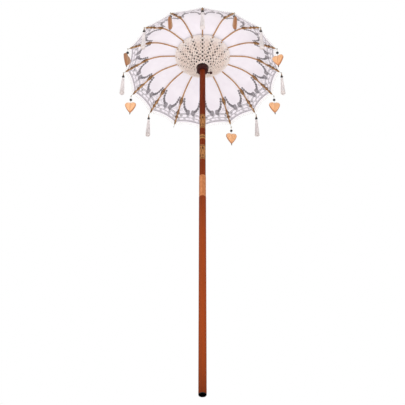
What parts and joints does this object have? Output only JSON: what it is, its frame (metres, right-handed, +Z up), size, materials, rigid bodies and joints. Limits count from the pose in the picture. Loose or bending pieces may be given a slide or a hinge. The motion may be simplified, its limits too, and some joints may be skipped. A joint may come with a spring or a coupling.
{
  "type": "garden parasol",
  "caption": "Tall garden parasol with a painted cotton dome on bent bamboo ribs, a sliding runner, hanging hearts and tassels, and a two-part pole.",
  "frame": {"origin": "centre of the pole's foot, on the ground", "axes": "+Z up the pole, -Y along the first rib, towards the usual viewer"},
  "size_m": [0.9522, 0.9522, 2.4213],
  "materials": {
    "pole_wood": "stained red-brown wood with gold painted bands, satin varnish",
    "hub_wood": "turned wood, dark maroon paint",
    "bamboo": "split bamboo, oiled, with painted ornament towards the rib ends",
    "strut_bamboo": "pale split bamboo",
    "ferrule_metal": "satin copper-toned sleeve",
    "hinge_wire": "bright steel wire",
    "foot_rubber": "black rubber plug",
    "canopy_cotton": "white cotton, hand painted with swags of dots and a striped border",
    "lace": "thin white cotton lace",
    "heart_wood": "natural varnished wood with a dark bead",
    "tassel_cotton": "cream cotton threads under dark beads"
  },
  "bodies": {
    "lower_pole": {"lower_pole": "pole_wood", "foot_cap": "foot_rubber", "ferrule": "ferrule_metal"},
    "upper_pole": {"upper_pole": "pole_wood", "crown": "hub_wood", "crown_wire": "hinge_wire", "finial": "hub_wood", "canopy": "canopy_cotton", "lace_trim": "lace"},
    "runner": {"runner": "hub_wood", "runner_wire": "hinge_wire"},
    "lock_peg": {"lock_peg": "hub_wood"},
    "rib_01": {"rib_01": "bamboo"},
    "strut_01": {"strut_01": "strut_bamboo"},
    "tassel_01": {"tassel_01": "tassel_cotton"},
    "rib_02": {"rib_02": "bamboo"},
    "strut_02": {"strut_02": "strut_bamboo"},
    "heart_02": {"heart_02": "heart_wood"},
    "rib_03": {"rib_03": "bamboo"},
    "strut_03": {"strut_03": "strut_bamboo"},
    "tassel_03": {"tassel_03": "tassel_cotton"},
    "rib_04": {"rib_04": "bamboo"},
    "strut_04": {"strut_04": "strut_bamboo"},
    "heart_04": {"heart_04": "heart_wood"},
    "rib_05": {"rib_05": "bamboo"},
    "strut_05": {"strut_05": "strut_bamboo"},
    "tassel_05": {"tassel_05": "tassel_cotton"},
    "rib_06": {"rib_06": "bamboo"},
    "strut_06": {"strut_06": "strut_bamboo"},
    "heart_06": {"heart_06": "heart_wood"},
    "rib_07": {"rib_07": "bamboo"},
    "strut_07": {"strut_07": "strut_bamboo"},
    "tassel_07": {"tassel_07": "tassel_cotton"},
    "rib_08": {"rib_08": "bamboo"},
    "strut_08": {"strut_08": "strut_bamboo"},
    "heart_08": {"heart_08": "heart_wood"},
    "rib_09": {"rib_09": "bamboo"},
    "strut_09": {"strut_09": "strut_bamboo"},
    "tassel_09": {"tassel_09": "tassel_cotton"},
    "rib_10": {"rib_10": "bamboo"},
    "strut_10": {"strut_10": "strut_bamboo"},
    "rib_11": {"rib_11": "bamboo"},
    "strut_11": {"strut_11": "strut_bamboo"},
    "tassel_11": {"tassel_11": "tassel_cotton"},
    "rib_12": {"rib_12": "bamboo"},
    "strut_12": {"strut_12": "strut_bamboo"},
    "heart_12": {"heart_12": "heart_wood"},
    "rib_13": {"rib_13": "bamboo"},
    "strut_13": {"strut_13": "strut_bamboo"},
    "tassel_13": {"tassel_13": "tassel_cotton"},
    "rib_14": {"rib_14": "bamboo"},
    "strut_14": {"strut_14": "strut_bamboo"},
    "heart_14": {"heart_14": "heart_wood"},
    "rib_15": {"rib_15": "bamboo"},
    "strut_15": {"strut_15": "strut_bamboo"},
    "tassel_15": {"tassel_15": "tassel_cotton"},
    "rib_16": {"rib_16": "bamboo"},
    "strut_16": {"strut_16": "strut_bamboo"},
    "heart_16": {"heart_16": "heart_wood"}
  },
  "joints": [
    {"name": "upper_pole_lift", "type": "slide", "parent": "lower_pole", "child": "upper_pole", "axis": [0, 0, 1], "range_m": [0, 0.077]},
    {"name": "runner_slide", "type": "slide", "parent": "upper_pole", "child": "runner", "axis": [0, 0, 1], "range_m": [-0.15485, 0]},
    {"name": "lock_peg_pull", "type": "slide", "parent": "runner", "child": "lock_peg", "axis": [1, 0, 0], "range_m": [0, 0.066]},
    {"name": "rib_01_hinge", "type": "hinge", "parent": "upper_pole", "child": "rib_01", "pos_m": [0, -0.03, 2.349], "axis": [1, 0, 0], "range_deg": [0, 60.05]},
    {"name": "strut_01_hinge", "type": "hinge", "parent": "runner", "child": "strut_01", "pos_m": [0, -0.028, 2.234], "axis": [1, 0, 0], "range_deg": [-30.98, 0]},
    {"name": "tassel_01_swing", "type": "hinge", "parent": "rib_01", "child": "tassel_01", "pos_m": [0, -0.46165, 2.18964], "axis": [1, 0, 0], "range_deg": [-60.05, 0]},
    {"name": "rib_02_hinge", "type": "hinge", "parent": "upper_pole", "child": "rib_02", "pos_m": [0.01148, -0.02772, 2.349], "axis": [0.9239, 0.3827, 0], "range_deg": [0, 60.05]},
    {"name": "strut_02_hinge", "type": "hinge", "parent": "runner", "child": "strut_02", "pos_m": [0.01072, -0.02587, 2.234], "axis": [0.9239, 0.3827, 0], "range_deg": [-30.98, 0]},
    {"name": "heart_02_swing", "type": "hinge", "parent": "rib_02", "child": "heart_02", "pos_m": [0.17666, -0.42651, 2.18964], "axis": [0.9239, 0.3827, 0], "range_deg": [-60.05, 0]},
    {"name": "rib_03_hinge", "type": "hinge", "parent": "upper_pole", "child": "rib_03", "pos_m": [0.02121, -0.02121, 2.349], "axis": [0.7071, 0.7071, 0], "range_deg": [0, 60.05]},
    {"name": "strut_03_hinge", "type": "hinge", "parent": "runner", "child": "strut_03", "pos_m": [0.0198, -0.0198, 2.234], "axis": [0.7071, 0.7071, 0], "range_deg": [-30.98, 0]},
    {"name": "tassel_03_swing", "type": "hinge", "parent": "rib_03", "child": "tassel_03", "pos_m": [0.32643, -0.32643, 2.18964], "axis": [0.7071, 0.7071, 0], "range_deg": [-60.05, 0]},
    {"name": "rib_04_hinge", "type": "hinge", "parent": "upper_pole", "child": "rib_04", "pos_m": [0.02772, -0.01148, 2.349], "axis": [0.3827, 0.9239, 0], "range_deg": [0, 60.05]},
    {"name": "strut_04_hinge", "type": "hinge", "parent": "runner", "child": "strut_04", "pos_m": [0.02587, -0.01072, 2.234], "axis": [0.3827, 0.9239, 0], "range_deg": [-30.98, 0]},
    {"name": "heart_04_swing", "type": "hinge", "parent": "rib_04", "child": "heart_04", "pos_m": [0.42651, -0.17666, 2.18964], "axis": [0.3827, 0.9239, 0], "range_deg": [-60.05, 0]},
    {"name": "rib_05_hinge", "type": "hinge", "parent": "upper_pole", "child": "rib_05", "pos_m": [0.03, 0, 2.349], "axis": [0, 1, 0], "range_deg": [0, 60.05]},
    {"name": "strut_05_hinge", "type": "hinge", "parent": "runner", "child": "strut_05", "pos_m": [0.028, 0, 2.234], "axis": [0, 1, 0], "range_deg": [-30.98, 0]},
    {"name": "tassel_05_swing", "type": "hinge", "parent": "rib_05", "child": "tassel_05", "pos_m": [0.46165, 0, 2.18964], "axis": [0, 1, 0], "range_deg": [-60.05, 0]},
    {"name": "rib_06_hinge", "type": "hinge", "parent": "upper_pole", "child": "rib_06", "pos_m": [0.02772, 0.01148, 2.349], "axis": [-0.3827, 0.9239, 0], "range_deg": [0, 60.05]},
    {"name": "strut_06_hinge", "type": "hinge", "parent": "runner", "child": "strut_06", "pos_m": [0.02587, 0.01072, 2.234], "axis": [-0.3827, 0.9239, 0], "range_deg": [-30.98, 0]},
    {"name": "heart_06_swing", "type": "hinge", "parent": "rib_06", "child": "heart_06", "pos_m": [0.42651, 0.17666, 2.18964], "axis": [-0.3827, 0.9239, 0], "range_deg": [-60.05, 0]},
    {"name": "rib_07_hinge", "type": "hinge", "parent": "upper_pole", "child": "rib_07", "pos_m": [0.02121, 0.02121, 2.349], "axis": [-0.7071, 0.7071, 0], "range_deg": [0, 60.05]},
    {"name": "strut_07_hinge", "type": "hinge", "parent": "runner", "child": "strut_07", "pos_m": [0.0198, 0.0198, 2.234], "axis": [-0.7071, 0.7071, 0], "range_deg": [-30.98, 0]},
    {"name": "tassel_07_swing", "type": "hinge", "parent": "rib_07", "child": "tassel_07", "pos_m": [0.32643, 0.32643, 2.18964], "axis": [-0.7071, 0.7071, 0], "range_deg": [-60.05, 0]},
    {"name": "rib_08_hinge", "type": "hinge", "parent": "upper_pole", "child": "rib_08", "pos_m": [0.01148, 0.02772, 2.349], "axis": [-0.9239, 0.3827, 0], "range_deg": [0, 60.05]},
    {"name": "strut_08_hinge", "type": "hinge", "parent": "runner", "child": "strut_08", "pos_m": [0.01072, 0.02587, 2.234], "axis": [-0.9239, 0.3827, 0], "range_deg": [-30.98, 0]},
    {"name": "heart_08_swing", "type": "hinge", "parent": "rib_08", "child": "heart_08", "pos_m": [0.17666, 0.42651, 2.18964], "axis": [-0.9239, 0.3827, 0], "range_deg": [-60.05, 0]},
    {"name": "rib_09_hinge", "type": "hinge", "parent": "upper_pole", "child": "rib_09", "pos_m": [0, 0.03, 2.349], "axis": [-1, 0, 0], "range_deg": [0, 60.05]},
    {"name": "strut_09_hinge", "type": "hinge", "parent": "runner", "child": "strut_09", "pos_m": [0, 0.028, 2.234], "axis": [-1, 0, 0], "range_deg": [-30.98, 0]},
    {"name": "tassel_09_swing", "type": "hinge", "parent": "rib_09", "child": "tassel_09", "pos_m": [0, 0.46165, 2.18964], "axis": [-1, 0, 0], "range_deg": [-60.05, 0]},
    {"name": "rib_10_hinge", "type": "hinge", "parent": "upper_pole", "child": "rib_10", "pos_m": [-0.01148, 0.02772, 2.349], "axis": [-0.9239, -0.3827, 0], "range_deg": [0, 60.05]},
    {"name": "strut_10_hinge", "type": "hinge", "parent": "runner", "child": "strut_10", "pos_m": [-0.01072, 0.02587, 2.234], "axis": [-0.9239, -0.3827, 0], "range_deg": [-30.98, 0]},
    {"name": "rib_11_hinge", "type": "hinge", "parent": "upper_pole", "child": "rib_11", "pos_m": [-0.02121, 0.02121, 2.349], "axis": [-0.7071, -0.7071, 0], "range_deg": [0, 60.05]},
    {"name": "strut_11_hinge", "type": "hinge", "parent": "runner", "child": "strut_11", "pos_m": [-0.0198, 0.0198, 2.234], "axis": [-0.7071, -0.7071, 0], "range_deg": [-30.98, 0]},
    {"name": "tassel_11_swing", "type": "hinge", "parent": "rib_11", "child": "tassel_11", "pos_m": [-0.32643, 0.32643, 2.18964], "axis": [-0.7071, -0.7071, 0], "range_deg": [-60.05, 0]},
    {"name": "rib_12_hinge", "type": "hinge", "parent": "upper_pole", "child": "rib_12", "pos_m": [-0.02772, 0.01148, 2.349], "axis": [-0.3827, -0.9239, 0], "range_deg": [0, 60.05]},
    {"name": "strut_12_hinge", "type": "hinge", "parent": "runner", "child": "strut_12", "pos_m": [-0.02587, 0.01072, 2.234], "axis": [-0.3827, -0.9239, 0], "range_deg": [-30.98, 0]},
    {"name": "heart_12_swing", "type": "hinge", "parent": "rib_12", "child": "heart_12", "pos_m": [-0.42651, 0.17666, 2.18964], "axis": [-0.3827, -0.9239, 0], "range_deg": [-60.05, 0]},
    {"name": "rib_13_hinge", "type": "hinge", "parent": "upper_pole", "child": "rib_13", "pos_m": [-0.03, 0, 2.349], "axis": [0, -1, 0], "range_deg": [0, 60.05]},
    {"name": "strut_13_hinge", "type": "hinge", "parent": "runner", "child": "strut_13", "pos_m": [-0.028, 0, 2.234], "axis": [0, -1, 0], "range_deg": [-30.98, 0]},
    {"name": "tassel_13_swing", "type": "hinge", "parent": "rib_13", "child": "tassel_13", "pos_m": [-0.46165, 0, 2.18964], "axis": [0, -1, 0], "range_deg": [-60.05, 0]},
    {"name": "rib_14_hinge", "type": "hinge", "parent": "upper_pole", "child": "rib_14", "pos_m": [-0.02772, -0.01148, 2.349], "axis": [0.3827, -0.9239, 0], "range_deg": [0, 60.05]},
    {"name": "strut_14_hinge", "type": "hinge", "parent": "runner", "child": "strut_14", "pos_m": [-0.02587, -0.01072, 2.234], "axis": [0.3827, -0.9239, 0], "range_deg": [-30.98, 0]},
    {"name": "heart_14_swing", "type": "hinge", "parent": "rib_14", "child": "heart_14", "pos_m": [-0.42651, -0.17666, 2.18964], "axis": [0.3827, -0.9239, 0], "range_deg": [-60.05, 0]},
    {"name": "rib_15_hinge", "type": "hinge", "parent": "upper_pole", "child": "rib_15", "pos_m": [-0.02121, -0.02121, 2.349], "axis": [0.7071, -0.7071, 0], "range_deg": [0, 60.05]},
    {"name": "strut_15_hinge", "type": "hinge", "parent": "runner", "child": "strut_15", "pos_m": [-0.0198, -0.0198, 2.234], "axis": [0.7071, -0.7071, 0], "range_deg": [-30.98, 0]},
    {"name": "tassel_15_swing", "type": "hinge", "parent": "rib_15", "child": "tassel_15", "pos_m": [-0.32643, -0.32643, 2.18964], "axis": [0.7071, -0.7071, 0], "range_deg": [-60.05, 0]},
    {"name": "rib_16_hinge", "type": "hinge", "parent": "upper_pole", "child": "rib_16", "pos_m": [-0.01148, -0.02772, 2.349], "axis": [0.9239, -0.3827, 0], "range_deg": [0, 60.05]},
    {"name": "strut_16_hinge", "type": "hinge", "parent": "runner", "child": "strut_16", "pos_m": [-0.01072, -0.02587, 2.234], "axis": [0.9239, -0.3827, 0], "range_deg": [-30.98, 0]},
    {"name": "heart_16_swing", "type": "hinge", "parent": "rib_16", "child": "heart_16", "pos_m": [-0.17666, -0.42651, 2.18964], "axis": [0.9239, -0.3827, 0], "range_deg": [-60.05, 0]}
  ],
  "couplings": [
    {"joint": "rib_01_hinge", "follows": "runner_slide", "rad_per_m": -6.7627},
    {"joint": "strut_01_hinge", "follows": "runner_slide", "rad_per_m": 3.4859},
    {"joint": "tassel_01_swing", "follows": "runner_slide", "rad_per_m": 6.7627},
    {"joint": "rib_02_hinge", "follows": "runner_slide", "rad_per_m": -6.7627},
    {"joint": "strut_02_hinge", "follows": "runner_slide", "rad_per_m": 3.4859},
    {"joint": "heart_02_swing", "follows": "runner_slide", "rad_per_m": 6.7627},
    {"joint": "rib_03_hinge", "follows": "runner_slide", "rad_per_m": -6.7627},
    {"joint": "strut_03_hinge", "follows": "runner_slide", "rad_per_m": 3.4859},
    {"joint": "tassel_03_swing", "follows": "runner_slide", "rad_per_m": 6.7627},
    {"joint": "rib_04_hinge", "follows": "runner_slide", "rad_per_m": -6.7627},
    {"joint": "strut_04_hinge", "follows": "runner_slide", "rad_per_m": 3.4859},
    {"joint": "heart_04_swing", "follows": "runner_slide", "rad_per_m": 6.7627},
    {"joint": "rib_05_hinge", "follows": "runner_slide", "rad_per_m": -6.7627},
    {"joint": "strut_05_hinge", "follows": "runner_slide", "rad_per_m": 3.4859},
    {"joint": "tassel_05_swing", "follows": "runner_slide", "rad_per_m": 6.7627},
    {"joint": "rib_06_hinge", "follows": "runner_slide", "rad_per_m": -6.7627},
    {"joint": "strut_06_hinge", "follows": "runner_slide", "rad_per_m": 3.4859},
    {"joint": "heart_06_swing", "follows": "runner_slide", "rad_per_m": 6.7627},
    {"joint": "rib_07_hinge", "follows": "runner_slide", "rad_per_m": -6.7627},
    {"joint": "strut_07_hinge", "follows": "runner_slide", "rad_per_m": 3.4859},
    {"joint": "tassel_07_swing", "follows": "runner_slide", "rad_per_m": 6.7627},
    {"joint": "rib_08_hinge", "follows": "runner_slide", "rad_per_m": -6.7627},
    {"joint": "strut_08_hinge", "follows": "runner_slide", "rad_per_m": 3.4859},
    {"joint": "heart_08_swing", "follows": "runner_slide", "rad_per_m": 6.7627},
    {"joint": "rib_09_hinge", "follows": "runner_slide", "rad_per_m": -6.7627},
    {"joint": "strut_09_hinge", "follows": "runner_slide", "rad_per_m": 3.4859},
    {"joint": "tassel_09_swing", "follows": "runner_slide", "rad_per_m": 6.7627},
    {"joint": "rib_10_hinge", "follows": "runner_slide", "rad_per_m": -6.7627},
    {"joint": "strut_10_hinge", "follows": "runner_slide", "rad_per_m": 3.4859},
    {"joint": "rib_11_hinge", "follows": "runner_slide", "rad_per_m": -6.7627},
    {"joint": "strut_11_hinge", "follows": "runner_slide", "rad_per_m": 3.4859},
    {"joint": "tassel_11_swing", "follows": "runner_slide", "rad_per_m": 6.7627},
    {"joint": "rib_12_hinge", "follows": "runner_slide", "rad_per_m": -6.7627},
    {"joint": "strut_12_hinge", "follows": "runner_slide", "rad_per_m": 3.4859},
    {"joint": "heart_12_swing", "follows": "runner_slide", "rad_per_m": 6.7627},
    {"joint": "rib_13_hinge", "follows": "runner_slide", "rad_per_m": -6.7627},
    {"joint": "strut_13_hinge", "follows": "runner_slide", "rad_per_m": 3.4859},
    {"joint": "tassel_13_swing", "follows": "runner_slide", "rad_per_m": 6.7627},
    {"joint": "rib_14_hinge", "follows": "runner_slide", "rad_per_m": -6.7627},
    {"joint": "strut_14_hinge", "follows": "runner_slide", "rad_per_m": 3.4859},
    {"joint": "heart_14_swing", "follows": "runner_slide", "rad_per_m": 6.7627},
    {"joint": "rib_15_hinge", "follows": "runner_slide", "rad_per_m": -6.7627},
    {"joint": "strut_15_hinge", "follows": "runner_slide", "rad_per_m": 3.4859},
    {"joint": "tassel_15_swing", "follows": "runner_slide", "rad_per_m": 6.7627},
    {"joint": "rib_16_hinge", "follows": "runner_slide", "rad_per_m": -6.7627},
    {"joint": "strut_16_hinge", "follows": "runner_slide", "rad_per_m": 3.4859},
    {"joint": "heart_16_swing", "follows": "runner_slide", "rad_per_m": 6.7627}
  ]
}
